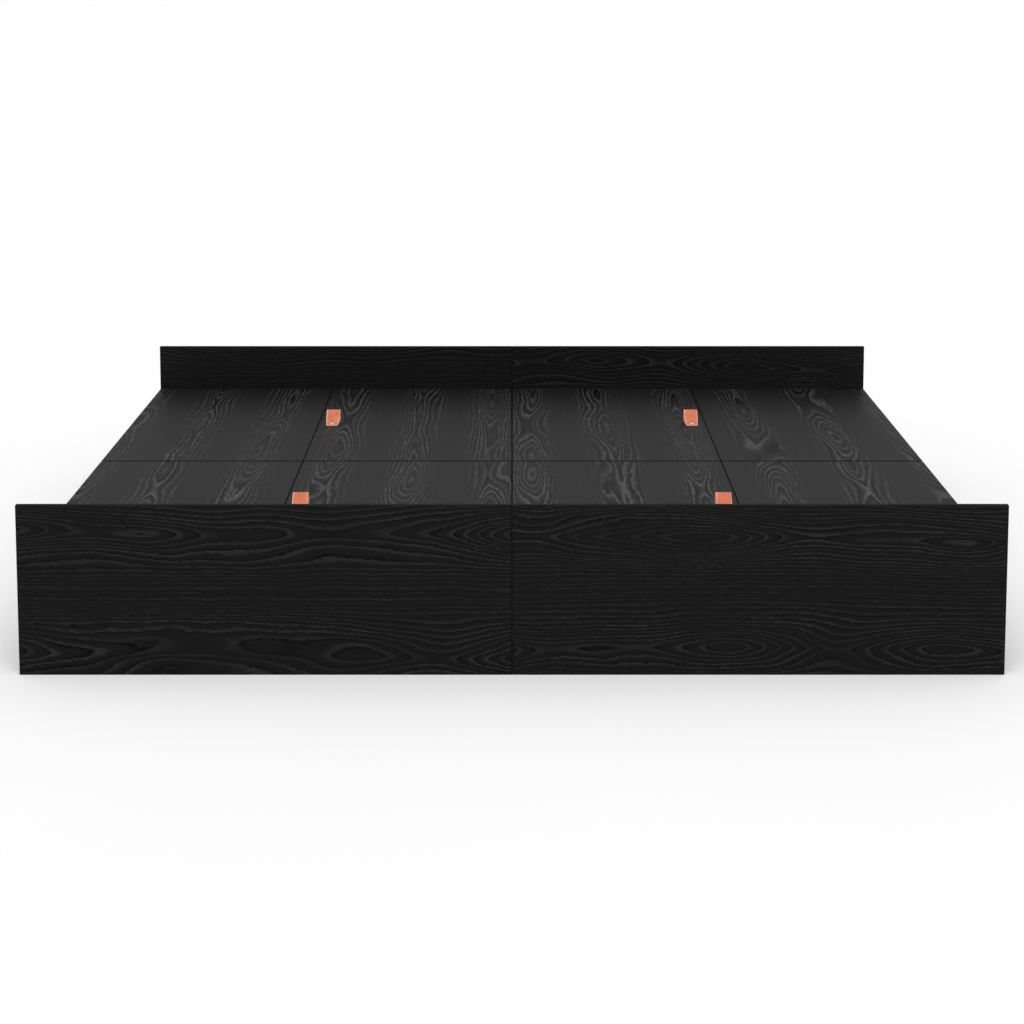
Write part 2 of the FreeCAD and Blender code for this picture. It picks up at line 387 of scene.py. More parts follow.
    def profile(
        self, tree: bpy.types.NodeTree, phase: bpy.types.NodeSocket
    ) -> bpy.types.NodeSocket:
        """Return how light one ring is across its width, from 0 to 1.

        Early wood starts sharply and dies away to the plain ground, and late wood is a
        dark line before the next ring.

        Args:
            tree: the node tree.
            phase: count of rings, not rounded.

        Returns:
            The lightness's socket.
        """
        saw = add_node(tree, "Math", {0: phase}, operation="FRACT").outputs[0]
        ramp = add_node(tree, "ValToRGB", {0: saw})
        stops = ramp.color_ramp.elements
        stops[0].position, stops[0].color = 0.0, (0, 0, 0, 1)
        stops[1].position, stops[1].color = 1.0, (0, 0, 0, 1)
        rest, dark = self.rest, 1 - self.late
        levels = ((0.07, 1.0), (0.24, 0.9), (0.44, rest), (dark - 0.14, rest), (dark, 0.0))
        for position, level in levels:
            stops.new(position).color = (level, level, level, 1)
        return ramp.outputs[0]

    def pattern(self, tree: bpy.types.NodeTree) -> dict[str, bpy.types.NodeSocket]:
        """Add rings to the colour and the gloss, and pores to the relief.

        Args:
            tree: the material's node tree.

        Returns:
            The sockets that feed the shader, by the name of its input.
        """
        place = place_socket(tree, self.source, self.along)
        from_pith = self.from_pith(tree, place)
        reach = 0.43 * self.column_mm * MM
        inputs = {0: from_pith, 1: 0.0, 2: reach, 3: 1.0, 4: 0.0}
        near = add_node(tree, "MapRange", inputs, interpolation_type="SMOOTHSTEP").outputs[0]
        phase = self.ring_phase(tree, place, from_pith, near)
        strength = self.strength(tree, place, phase, near)
        inputs = {0: strength, 2: self.rest, 3: self.profile(tree, phase)}
        level = add_node(tree, "Mix", inputs, data_type="FLOAT").outputs[0]
        inputs = {"Factor": level, 6: linear(self.ground), 7: linear(self.ring)}
        colour = add_node(tree, "Mix", inputs, data_type="RGBA").outputs[2]
        rough = self.roughness + self.gloss_swing * self.rest
        inputs = {0: level, 3: rough, 4: rough - self.gloss_swing}
        gloss = add_node(tree, "MapRange", inputs).outputs[0]
        pores = stretched_noise(tree, place, *self.pore_mm, 1.0)
        pores = add_node(tree, "MapRange", {0: pores, 1: 0.5, 2: 0.72}).outputs[0]
        inputs = {0: pores, 1: -0.6, 2: level}
        relief = add_node(tree, "Math", inputs, operation="MULTIPLY_ADD").outputs[0]
        inputs = {"Height": relief, "Strength": 0.35, "Distance": self.relief_mm * MM}
        bump = add_node(tree, "Bump", inputs).outputs[0]
        return {"Base Color": colour, "Roughness": gloss, "Normal": bump}


@dataclass(frozen=True)
class MottledPaint(Finish):
    """Plain coated surface: edge banding, powder coat, sheet board or floor paint.

    The eye sees one colour with a faint cloudiness and a fine orange-peel relief.

    Attributes:
        dark: colour of the darker clouds.
        light: colour of the lighter clouds.
        cloud_mm: size of a cloud.
        grit_mm: size of the fine relief.
        relief_mm: height of the fine relief.
        gloss_swing: how far the clouds move the roughness each way.
    """

    dark: str = "101010"
    light: str = "161616"
    cloud_mm: float = 60.0
    grit_mm: float = 1.2
    relief_mm: float = 0.03
    gloss_swing: float = 0.05

    def pattern(self, tree: bpy.types.NodeTree) -> dict[str, bpy.types.NodeSocket]:
        """Add clouds to the colour and the gloss, and grit to the relief.

        Args:
            tree: the material's node tree.

        Returns:
            The sockets that feed the shader, by the name of its input.
        """
        place = add_node(tree, "TexCoord").outputs["Object"]
        inputs = {"Vector": place, "Scale": 1 / (self.cloud_mm * MM), "Detail": 2.0}
        cloud = add_node(tree, "TexNoise", inputs).outputs[0]
        inputs = {"Factor": cloud, 6: linear(self.dark), 7: linear(self.light)}
        colour = add_node(tree, "Mix", inputs, data_type="RGBA").outputs[2]
        low, high = self.roughness - self.gloss_swing, self.roughness + self.gloss_swing
        gloss = add_node(tree, "MapRange", {0: cloud, 3: low, 4: high}).outputs[0]
        inputs = {"Vector": place, "Scale": 1 / (self.grit_mm * MM), "Detail": 1.0}
        grit = add_node(tree, "TexNoise", inputs).outputs[0]
        inputs = {"Height": grit, "Strength": 0.5, "Distance": self.relief_mm * MM}
        bump = add_node(tree, "Bump", inputs).outputs[0]
        return {"Base Color": colour, "Roughness": gloss, "Normal": bump}


@dataclass(frozen=True)
class TanLeather(Finish):
    """Smooth vegetable-tanned leather, rolled and lightly waxed.

    The eye sees a warm tan with soft darker clouds, a fine pebble grain and a sheen
    that is broken by the grain.

    Attributes:
        dark: colour of the darker clouds and creases.
        light: colour of the lighter clouds.
        pebble_mm: size of a pebble of the grain.
        cloud_mm: size of a cloud.
        relief_mm: depth of the lines between the pebbles.
    """

    dark: str = "b75e40"
    light: str = "d37754"
    pebble_mm: float = 0.9
    cloud_mm: float = 14.0
    relief_mm: float = 0.12

    def pattern(self, tree: bpy.types.NodeTree) -> dict[str, bpy.types.NodeSocket]:
        """Add clouds of colour and the pebbled relief.

        Args:
            tree: the material's node tree.

        Returns:
            The sockets that feed the shader, by the name of its input.
        """
        place = add_node(tree, "TexCoord").outputs["UV"]
        inputs = {"Vector": place, "Scale": 1 / (self.cloud_mm * MM), "Detail": 3.0}
        cloud = add_node(tree, "TexNoise", inputs).outputs[0]
        inputs = {"Vector": place, "Scale": 1 / (self.pebble_mm * MM)}
        pebble = add_node(tree, "TexVoronoi", inputs, feature="SMOOTH_F1").outputs[0]
        inputs = {0: pebble, 1: -0.35, 2: cloud}
        mix = add_node(tree, "Math", inputs, operation="MULTIPLY_ADD").outputs[0]
        mix = add_node(tree, "MapRange", {0: mix, 1: 0.05, 2: 0.55}).outputs[0]
        inputs = {"Factor": mix, 6: linear(self.dark), 7: linear(self.light)}
        colour = add_node(tree, "Mix", inputs, data_type="RGBA").outputs[2]
        inputs = {"Height": pebble, "Strength": 0.4, "Distance": -self.relief_mm * MM}
        bump = add_node(tree, "Bump", inputs).outputs[0]
        return {"Base Color": colour, "Normal": bump}


@dataclass(frozen=True)
class Softwood(Finish):
    """Planed pine, unfinished.

    The eye sees pale yellow wood with soft darker growth rings, nearly straight, and a
    matt face with fine fibres along it.

    Attributes:
        early: colour of the pale early wood.
        late: colour of the darker late wood.
        wave_mm: length and width of a blob of the noise that bends the rings.
        rings: growth rings in such a width.
        fibre_mm: length and width of a fibre.
        relief_mm: height of the fibres.
    """

    early: str = "d9b98a"
    late: str = "b98a54"
    wave_mm: tuple[float, float] = (240.0, 9.0)
    rings: float = 3.0
    fibre_mm: tuple[float, float] = (30.0, 0.8)
    relief_mm: float = 0.1

    def pattern(self, tree: bpy.types.NodeTree) -> dict[str, bpy.types.NodeSocket]:
        """Add growth rings, the fractions of a noise that is counted up in rings.

        Args:
            tree: the material's node tree.

        Returns:
            The sockets that feed the shader, by the name of its input.
        """
        place = add_node(tree, "TexCoord").outputs["UV"]
        drift = stretched_noise(tree, place, *self.wave_mm, 1.0)
        inputs = {0: drift, 1: self.rings}
        rings = add_node(tree, "Math", inputs, operation="MULTIPLY").outputs[0]
        rings = add_node(tree, "Math", {0: rings}, operation="FRACT").outputs[0]
        inputs = {"Factor": rings, 6: linear(self.early), 7: linear(self.late)}
        colour = add_node(tree, "Mix", inputs, data_type="RGBA").outputs[2]
        fibre = stretched_noise(tree, place, *self.fibre_mm, 1.0)
        inputs = {"Height": fibre, "Strength": 0.5, "Distance": self.relief_mm * MM}
        bump = add_node(tree, "Bump", inputs).outputs[0]
        return {"Base Color": colour, "Normal": bump}


FOIL_LOOK = {"slot": "black_oak_board", "roughness": 0.49, "specular": 0.05}
# black oak foil: near-black with fine grey rings, in columns of tall arches
BOARD_FOIL = OakFoil("oak_foil_black", **FOIL_LOOK)
# the deck's foil: the boards' foil with its rings painted paler, a painted sheen for the deck's low
# angle; also more frayed rings, longer arches, plain between the columns
DECK_FOIL_PAINTED_SHEEN = OakFoil(
    "oak_foil_black_painted_sheen",
    # paler rings than the boards' foil: painted sheen, not a different print
    ring="444444",
    rest=0.2,
    gloss_swing=0.1,
    spacing_mm=9.5,
    column_mm=175.0,
    stretch=1.7,
    late=0.24,
    between=0.05,
    fray=2.3,
    slot="black_oak_board",
    roughness=0.5,
    specular=0.0375,
)
# the boards' foil again, for the boards inside, with its grain along X or along Y
CARCASE_FOIL_X = OakFoil("oak_foil_black_x", source=Source.OBJECT, along=Axis.X, **FOIL_LOOK)
CARCASE_FOIL_Y = OakFoil("oak_foil_black_y", source=Source.OBJECT, along=Axis.Y, **FOIL_LOOK)
# plastic edge band: plain, matt and even, without the foil's figure
EDGE_BAND = MottledPaint("abs_edge_band", "black_oak_board", 0.6, 0.04, "050505", "090909")
# black fibreboard: dull charcoal with a fine felted grit
SHEET = MottledPaint("black_fibreboard", "black_sheet", 0.8, 0.2, "141414", "1c1c1b", grit_mm=1.8)
# tanned leather: warm reddish tan with soft clouds, a fine pebble and a broken sheen
LEATHER = TanLeather("vegetable_tanned_leather", "tan_leather", 0.48, 0.4)
# cut leather: paler, pinkish and duller than the face, where the knife went through
CUT_LEATHER = TanLeather(
    "undyed_cut_leather", "tan_leather", 0.7, 0.3, dark="cf937b", light="e5b39b", pebble_mm=0.5
)
# nickel plating: bright, slightly warm metal with a soft highlight
NICKEL = MottledPaint(
    "nickel_plated_steel", "screw_steel", 0.3, 0.5, "d2d1cd", "e2e1dd", metallic=1.0
)
# zinc plating: greyer, slightly blue metal, clouded in small patches
ZINC = MottledPaint(
    "zinc_plated_steel", "zinc_steel", 0.38, 0.5, "a3a6a8", "bfc2c4", 18.0, metallic=1.0
)
# powder coating: soft black satin over the folded steel
POWDER = MottledPaint("powder_coated_steel", "runner_steel", 0.45, 0.4, "17171a", "1e1e21")
# moulded nylon: milky off-white with a waxy sheen
NYLON = MottledPaint("moulded_nylon", "runner_steel", 0.42, 0.5, "d8d6ce", "e4e2da", 9.0)
# planed pine: pale honey wood with darker growth rings and fine fibres
PINE = Softwood("planed_pine", "pine_batten", 0.6, 0.4)
# painted floor: even, chalky white that shows the bed's soft shade
FLOOR_PAINT = MottledPaint("pale_studio_floor", "", 0.9, 0.2, "f8f8f8", "fbfbfb", 900.0)

# distance from a board's lowest corner to a column of arches
END_ARCHES = {
    (End.FOOT, Side.LEFT): 44.0,
    (End.FOOT, Side.RIGHT): 54.0,
    (End.HEAD, Side.LEFT): 350.0,
    (End.HEAD, Side.RIGHT): 262.0,
}
PANEL_ARCHES = {Side.LEFT: 358.0, Side.RIGHT: 122.0}
LID_ARCHES = {Side.LEFT: 431.0, Side.RIGHT: 63.0}
FRONT_ARCHES = 96.0
METAL_ROUND = 0.15  # radius of every edge of a folded sheet, screw head or roller


# ------------------------------------------------------------------ meshes
@dataclass
class Shape:
    """One shape of a piece, with its faces turning outwards.

    Attributes:
        points: one row per vertex, in millimetres.
        corners: vertex numbers of the faces' corners, face after face.
        sizes: number of corners of each face.
        slots: material slot of each face.
        uv: along and across the grain at each vertex, in millimetres, if it has grain.
    """

    points: np.ndarray
    corners: np.ndarray
    sizes: np.ndarray
    slots: np.ndarray
    uv: np.ndarray | None = None


def make_piece(
    name: str, shapes: Sequence[Shape], finishes: Sequence[Finish]
) -> bpy.types.Object:
    """Put shapes into one new object at the origin.

    Args:
        name: the piece's name.
        shapes: the shapes, all with a UV map or all without.
        finishes: one finish per material slot.

    Returns:
        The new object.
    """
    counts = [len(shape.points) for shape in shapes]
    first = np.cumsum([0] + counts[:-1])
    points = np.concatenate([shape.points for shape in shapes]) * MM
    corners = np.concatenate([shape.corners + start for shape, start in zip(shapes, first)])
    sizes = np.concatenate([shape.sizes for shape in shapes])
    slots = np.concatenate([shape.slots for shape in shapes])
    mesh = bpy.data.meshes.new(name)
    mesh.vertices.add(len(points))
    mesh.vertices.foreach_set("co", points.ravel())
    mesh.loops.add(len(corners))
    mesh.loops.foreach_set("vertex_index", corners.astype(np.int32))
    mesh.polygons.add(len(sizes))
    mesh.polygons.foreach_set("loop_start", (np.cumsum(sizes) - sizes).astype(np.int32))
    mesh.update(calc_edges=True)
    for finish in finishes:
        mesh.materials.append(finish.material())
    mesh.polygons.foreach_set("material_index", slots.astype(np.int32))
    mesh.polygons.foreach_set("use_smooth", np.full(len(sizes), True))
    if shapes[0].uv is not None:
        uv = np.concatenate([shape.uv for shape in shapes]) * MM
        layer = mesh.uv_layers.new(name="grain")
        layer.data.foreach_set("uv", uv[corners].astype(np.float32).ravel())
    mesh.update()
    piece = bpy.data.objects.new(name, mesh)
    bpy.context.scene.collection.objects.link(piece)
    return piece


def shell(
    grid: np.ndarray,
    slots: np.ndarray | int = 0,
    cap_slot: int = 0,
    uv: np.ndarray | None = None,
) -> Shape:
    """Close a grid of points into a shell.

    Each row of the grid is a ring. Quads join it to the next ring, and one face closes
    the first ring and one the last. The shell's volume is the sum over its faces of a
    third of a point of the face times its area vector; where that comes out negative,
    the faces are turned round.

    Args:
        grid: rings by points by three, in millimetres.
        slots: material slot of each quad, or of all of them.
        cap_slot: material slot of the two end faces.
        uv: rings by points by two, in millimetres.

    Returns:
        The closed shape.
    """
    rings, columns = grid.shape[:2]
    row = np.arange(rings - 1)[:, None] * columns
    here = np.arange(columns)[None, :]
    after = (here + 1) % columns
    quads = np.stack([row + here, row + after, row + columns + after, row + columns + here], -1)
    quads = quads.reshape(-1, 4)
    caps = np.stack([here[0, ::-1], here[0] + (rings - 1) * columns])
    points = grid.reshape(-1, 3)
    spot = points[quads] - points[0]
    area = np.cross(spot[:, 2] - spot[:, 0], spot[:, 3] - spot[:, 1]) / 2
    volume = np.sum(spot.mean(axis=1) * area)
    spot = points[caps] - points[0]
    area = np.cross(spot, np.roll(spot, -1, axis=1)).sum(axis=1) / 2
    volume += np.sum(spot[:, 0] * area)
    if volume < 0:
        quads, caps = quads[:, ::-1], caps[:, ::-1]
    return Shape(
        points,
        np.concatenate([quads.ravel(), caps.ravel()]),
        np.concatenate([np.full(len(quads), 4), np.full(2, columns)]),
        np.concatenate([np.broadcast_to(slots, len(quads)), np.full(2, cap_slot)]),
        None if uv is None else uv.reshape(-1, 2),
    )


def stand(local: np.ndarray, base: Sequence[float], axis: Axis, sign: float) -> np.ndarray:
    """Turn points so that their third coordinate runs along an axis, and move them.

    Args:
        local: points about the origin, in the last axis of the array.
        base: where the origin goes.
        axis: axis that the third coordinate runs along.
        sign: 1 or -1, the way along that axis.

    Returns:
        The placed points.
    """
    placed = np.empty(local.shape)
    up, left, right = axis.value, (axis.value + 1) % 3, (axis.value + 2) % 3
    placed[..., up] = base[up] + sign * local[..., 2]
    placed[..., left] = base[left] + local[..., 0]
    placed[..., right] = base[right] + sign * local[..., 1]
    return placed


def turned(
    profile: Sequence[tuple[float, float]],
    base: Sequence[float],
    axis: Axis,
    sign: float,
    slots: Sequence[int] | int = 0,
    spokes: int = 36,
) -> Shape:
    """Turn a profile of radius and height round an axis, as on a lathe.

    Args:
        profile: radius and height of each ring, from the base upwards.
        base: where height zero is.
        axis: the axis.
        sign: 1 or -1, the way that height runs.
        slots: material slot of each band between two rings, or of all of them.
        spokes: points in a ring.

    Returns:
        The turned shape.
    """
    radius, height = np.array(profile, dtype=float).T[:, :, None]
    angle = np.linspace(0, 2 * math.pi, spokes, endpoint=False)
    local = [radius * np.cos(angle), radius * np.sin(angle), height + 0 * angle]
    bands = np.repeat(np.broadcast_to(slots, len(radius) - 1), spokes)
    return shell(stand(np.stack(local, axis=2), base, axis, sign), bands, int(bands[-1]))


def fillet(corners: np.ndarray, radii: np.ndarray, steps: int = 6) -> np.ndarray:
    """Round the corners of a closed outline.

    Each corner becomes an arc: a quadratic curve from the point one setback before the
    corner to the point one setback after it, with the corner as its middle handle. The
    setback is the radius times the tangent of half the turn.

    Args:
        corners: one row per corner.
        radii: radius at each corner.
        steps: points on each arc.

    Returns:
        The rounded outline.
    """
    before = np.roll(corners, 1, axis=0) - corners
    after = np.roll(corners, -1, axis=0) - corners
    before /= np.linalg.norm(before, axis=1, keepdims=True)
    after /= np.linalg.norm(after, axis=1, keepdims=True)
    inside = np.arccos(np.clip((before * after).sum(1), -1, 1))
    setback = (radii / np.tan(inside / 2))[:, None, None]
    t = np.linspace(0, 1, steps)[None, :, None]
    start, stop = (1 - t) ** 2 * before[:, None], t**2 * after[:, None]
    return (corners[:, None] + setback * (start + stop)).reshape(-1, 2)


def plate(
    outline: np.ndarray,
    thickness_axis: Axis,
    low: float,
    high: float,
    along: Axis,
    edge_slot: int = 1,
    grain_shift: tuple[float, float] = (0.0, 0.0),
) -> Shape:
    """Carry an outline through a thickness.

    A point of the surface is the outline at one parameter and the height between low
    and high at the other. From the lowest corner, the way along the grain is U, and the
    way across it plus the way through the thickness is V.

    Args:
        outline: closed outline in the two other axes, in their order.
        thickness_axis: axis of the thickness.
        low: lower end of the thickness.
        high: upper end of the thickness.
        along: axis of the grain.
        edge_slot: material slot of the edges; the two broad faces have slot 0.
        grain_shift: moves the pattern along and across the grain.

    Returns:
        The plate.
    """
    first, second = [axis.value for axis in Axis if axis is not thickness_axis]
    grid = np.empty((2, len(outline), 3))
    grid[:, :, first], grid[:, :, second] = outline[:, 0], outline[:, 1]
    grid[:, :, thickness_axis.value] = np.array([[low], [high]])
    from_corner = grid - grid.min(axis=(0, 1))
    across = from_corner.sum(axis=2) - from_corner[:, :, along.value]
    uv = np.stack([from_corner[:, :, along.value], across], axis=2) + np.array(grain_shift)
    return shell(grid, edge_slot, 0, uv)


def soften(piece: bpy.types.Object, radius: float, segments: int = 3) -> None:
    """Round a piece's sharp edges with a bevel that keeps its flat faces flat.

    Args:
        piece: the piece.
        radius: radius of the rounding, in millimetres.
        segments: faces across the rounding.
    """
    bevel = piece.modifiers.new("eased_edges", "BEVEL")
    bevel.width = radius * MM
    bevel.segments = segments
    bevel.limit_method = "ANGLE"
    bevel.angle_limit = math.radians(35)
    bevel.harden_normals = True


def rectangle(low: Sequence[float], high: Sequence[float]) -> np.ndarray:
    """Return the outline of a rectangle between two corners."""
    return np.array([low, (high[0], low[1]), high, (low[0], high[1])], dtype=float)


def node_box(node: str) -> tuple[np.ndarray, np.ndarray]:
    """Return a node's lowest and highest corners, in millimetres."""
    low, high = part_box(node)
    return np.array(low) / MM, np.array(high) / MM


# ------------------------------------------------------------------ sub-assemblies
@dataclass
class Board:
    """One board in place of its plain solid.

    Attributes:
        node: the solid that the board stands for.
        body: the body that it rides on.
        thickness_axis: axis of the thickness.
        along: axis of the grain.
        cut: which cut of the foil's roll covers it, so that no two boards are alike.
        arches_at: distance from the board's lowest corner to a column of arches.
        foil: finish of the broad faces.
        edge_round: radius of the edges.
    """

    node: str
    body: str
    thickness_axis: Axis
    along: Axis
    cut: int
    arches_at: float
    foil: OakFoil = BOARD_FOIL
    edge_round: float = 0.7

    def grain_shift(self) -> tuple[float, float]:
        """Return how far along and across the foil's roll the board's cut lies."""
        return 2300.0 * self.cut, 3 * self.cut * self.foil.column_mm - self.arches_at

    def outline(self, low: np.ndarray, high: np.ndarray) -> np.ndarray:
        """Return the board's outline between its corners in the two broad axes."""
        return rectangle(low, high)

    def build(self) -> bpy.types.Object:
        """Build the board and let it ride in place of its solid.

        Returns:
            The board's object.
        """
        low, high = node_box(self.node)
        broad = [axis.value for axis in Axis if axis is not self.thickness_axis]
        outline = self.outline(low[broad], high[broad])
        span = low[self.thickness_axis.value], high[self.thickness_axis.value]
        shift = self.grain_shift()
        body = plate(outline, self.thickness_axis, *span, self.along, grain_shift=shift)
        piece = make_piece(f"{self.node}_foiled", [body], (self.foil, EDGE_BAND))
        soften(piece, self.edge_round)
        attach(piece, self.body)
        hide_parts(self.node)
        LOG.info("%s rides on %s", piece.name, self.body)
        return piece


@dataclass
class EndBoard(Board):
    """Half of a foot or head board, rebated where it meets the other half.

    Attributes:
        joint_gap: width of the shadow line between the two halves.
        tongue_inset: how far the tongue stays inside the board along X, Y and Z.
        tongue_round: radius of the tongue's edges.
    """

    joint_gap: float = 1.0
    tongue_inset: tuple[float, float, float] = (0.0, 5.0, 0.6)
    tongue_round: float = 0.05

    def outline(self, low: np.ndarray, high: np.ndarray) -> np.ndarray:
        """Return the board's outline, short of the centre line by half the gap.

        Args:
            low: lowest corner in the two broad axes.
            high: highest corner in them.

        Returns:
            The closed outline.
        """
        half = self.joint_gap / 2
        if low[0] + high[0] > 0:
            return rectangle((half, low[1]), high)
        return rectangle(low, (-half, high[1]))

    def build(self) -> bpy.types.Object:
        """Build the board, and the tongue that its two rebates leave.

        Returns:
            The board's object.
        """
        piece = super().build()
        low, high = node_box(self.node)
        low, high = low + self.tongue_inset, high - self.tongue_inset
        middle = (low[0] + high[0]) / 2
        tip = math.copysign(self.joint_gap / 2, middle)
        section = rectangle((min(0.0, tip), low[2]), (max(0.0, tip), high[2]))
        bar = plate(section, Axis.Y, low[1], high[1], Axis.Z, edge_slot=0)
        tongue = make_piece(f"{self.node}_tongue", [bar], (EDGE_BAND,))
        soften(tongue, self.tongue_round)
        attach(tongue, self.body)
        return piece


@dataclass
class DrawerFront(Board):
    """A board with a finger notch in the middle of its top edge.

    Attributes:
        notch_width: width of the notch at the top.
        notch_depth: depth of the notch.
        notch_slope: how much each side of the notch leans in.
        radii: radii of the board's corners, the notch's mouth and the notch's floor.
    """

    notch_width: float = 140.0
    notch_depth: float = 24.0
    notch_slope: float = 14.0
    radii: tuple[float, float, float] = (0.5, 4.0, 9.0)

    def outline(self, low: np.ndarray, high: np.ndarray) -> np.ndarray:
        """Return a rectangle with the notch, its corners rounded.

        Args:
            low: lowest corner in the two broad axes.
            high: highest corner in them.

        Returns:
            The closed outline.
        """
        middle = (low[0] + high[0]) / 2
        half, floor = self.notch_width / 2, high[1] - self.notch_depth
        notch = [
            (middle + half, high[1]),
            (middle + half - self.notch_slope, floor),
            (middle - half + self.notch_slope, floor),
            (middle - half, high[1]),
        ]
        board = rectangle(low, high)
        corners = np.concatenate([board[:3], notch, board[3:]])
        square, mouth, base = self.radii
        radii = [square, square, square, mouth, base, base, mouth, square]
        return fillet(corners, np.array(radii))


@dataclass
class PullTab:
    """Leather strap folded into a standing loop and held by one screw.

    Attributes:
        end: end of the bed.
        side: side of the bed.
        width: width at the loop.
        tail_width: width at the screwed end.
        leather: thickness of the leather.
        loop_radius: outer radius of the loop's round end.
        stack: length over which the two layers lie on each other.
        ease_radius: radius of the bend where the upper layer lifts off the lower one.
        corner: radius of the corners at the screwed end.
        taper: distance from the strap's end to where it widens, and length of that S.
        crease: distance of the pressed line from the strap's edge.
        crease_cut: depth and half width of the pressed line.
        bulge: how far an edge's half ellipse stands out, as a share of half the thickness.
        skive: width of the bare bevel along the strap's edges.
    """

    end: End
    side: Side
    width: float = 32.0
    tail_width: float = 28.5
    leather: float = 1.6
    loop_radius: float = 13.5
    stack: float = 22.0
    ease_radius: float = 18.0
    corner: float = 5.0
    taper: tuple[float, float] = (12.0, 34.0)
    crease: float = 2.6
    crease_cut: tuple[float, float] = (0.22, 0.5)
    bulge: float = 0.85
    skive: float = 1.5

    def path(self, tail_y: float, deck_z: float, loop_y: float) -> np.ndarray:
        """Return the strap's middle line in Y and Z, from its lower end to its upper.

        It lies on the lid, turns over the round end, slopes down along the tangent of
        that circle and levels out on the lower layer through a wide arc.

        Args:
            tail_y: Y of both ends.
            deck_z: height of the lid.
            loop_y: Y of the middle of the round end.

        Returns:
            One row per point.
        """
        radius = self.loop_radius - self.leather / 2
        low = deck_z + self.leather / 2
        top = low + self.leather
        centre = np.array([loop_y, low + radius])
        meet = np.array([tail_y + self.stack, top])
        gap = centre - meet
        slope = math.atan2(gap[1], gap[0]) + math.asin(radius / np.hypot(*gap))
        setback = self.ease_radius * math.tan(slope / 2)
        flat_steps, arc_steps, down_steps, ease_steps, level_steps = 39, 44, 25, 11, 15
        turn = np.linspace(-math.pi / 2, math.pi / 2 + slope, arc_steps)
        arc = centre + radius * np.stack([np.cos(turn), np.sin(turn)], axis=1)
        first = np.linspace(tail_y, loop_y, flat_steps + 1)[:-1]
        flat = np.stack([first, np.full(flat_steps, low)], axis=1)
        ray = np.array([math.cos(slope), math.sin(slope)])
        t = np.linspace(0, 1, down_steps + 1)[1:, None]
        down = arc[-1] + (meet + setback * ray - arc[-1]) * t
        t = np.linspace(0, 1, ease_steps + 1)[1:, None]
        ease = meet + setback * ((1 - t) ** 2 * ray + t**2 * np.array([-1.0, 0.0]))
        last = np.linspace(meet[0] - setback, tail_y, level_steps + 1)[1:]
        level = np.stack([last, np.full(level_steps, top)], axis=1)
        return np.concatenate([flat, arc, down, ease, level])

    def half_width(self, run: np.ndarray) -> np.ndarray:
        """Return half the strap's width at each distance along it.

        It narrows along a smooth S from the loop to the screwed end, where a quarter
        circle rounds each corner.

        Args:
            run: distance along the strap.

        Returns:
            Half widths.
        """
        from_end = np.minimum(run, run[-1] - run)
        start, length = self.taper
        blend = np.clip((from_end - start) / length, 0, 1)
        blend = blend * blend * (3 - 2 * blend)
        half = (self.tail_width + (self.width - self.tail_width) * blend) / 2
        near = np.clip(self.corner - from_end, 0, self.corner)
        return half - self.corner + np.sqrt(np.maximum(self.corner**2 - near**2, 0))

    def section(self, half: np.ndarray) -> tuple[np.ndarray, np.ndarray]:
        """Return the strap's section at each of its half widths.

        It runs across the top, round one edge, back across the underside and round the
        other edge. The top is half the thickness less a bell-shaped pressed line near
        each edge; an edge is a half ellipse.

        Args:
            half: half widths, one per row.

        Returns:
            Place across the strap and height over its middle, each row by point.
        """
        across_steps, edge_steps = 41, 7
        deep, wide = self.crease_cut
        edge = self.bulge * self.leather / 2
        inner = half[:, None] - edge
        t = np.linspace(-1, 1, across_steps)[None, :]
        arc = np.linspace(math.pi / 2, -math.pi / 2, edge_steps)[1:-1]
        top_x = t * inner
        from_line = np.abs(top_x) - (half[:, None] - self.crease)
        top_z = self.leather / 2 - deep * np.exp(-((from_line / wide) ** 2))
        round_x = inner + edge * np.cos(arc)[None, :]
        round_z = np.broadcast_to(self.leather / 2 * np.sin(arc), round_x.shape)
        x = np.concatenate([top_x, round_x, -top_x, -round_x], axis=1)
        under_z = np.full_like(top_x, -self.leather / 2)
        z = np.concatenate([top_z, round_z, under_z, -round_z], axis=1)
        return x, z

    def build(self) -> None:
        """Carry the strap's section along its path.

        Each point is the path plus the section: its place across the strap along X, its
        height along the path's normal. Faces within the skive's width of an edge, and
        the two ends, show bare leather.
        """
        name = quarter(self.end, self.side)
        low, high = node_box(f"pull_tab_{name}")
        middle = (low[0] + high[0]) / 2
        path = self.path(low[1], low[2], high[1] - self.loop_radius)
        ahead = np.gradient(path, axis=0)
        ahead /= np.linalg.norm(ahead, axis=1, keepdims=True)
        normal = np.stack([ahead[:, 1], -ahead[:, 0]], axis=1)
        steps = np.linalg.norm(np.diff(path, axis=0), axis=1)
        run = np.concatenate([[0.0], np.cumsum(steps)])
        half = self.half_width(run)
        x, z = self.section(half)
        spot = path[:, None, :] + z[:, :, None] * normal[:, None, :]
        points = np.concatenate([(middle + x)[:, :, None], spot], axis=2)
        uv = np.stack([np.broadcast_to(run[:, None], x.shape), x + z], axis=2)
        uv += 40.0 * (self.side.value + 3 * self.end.value)
        from_end = np.minimum(run, run[-1] - run)[:, None]
        bare = (np.abs(x) > half[:, None] - self.skive) | (from_end < self.skive)
        strap = shell(points, bare[:-1].ravel().astype(int), 1, uv)
        piece = make_piece(f"leather_loop_{name}", [strap], (LEATHER, CUT_LEATHER))
        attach(piece, f"storage_lid_{name}")
        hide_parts(f"pull_tab_{name}")
        LOG.info("%s made", piece.name)


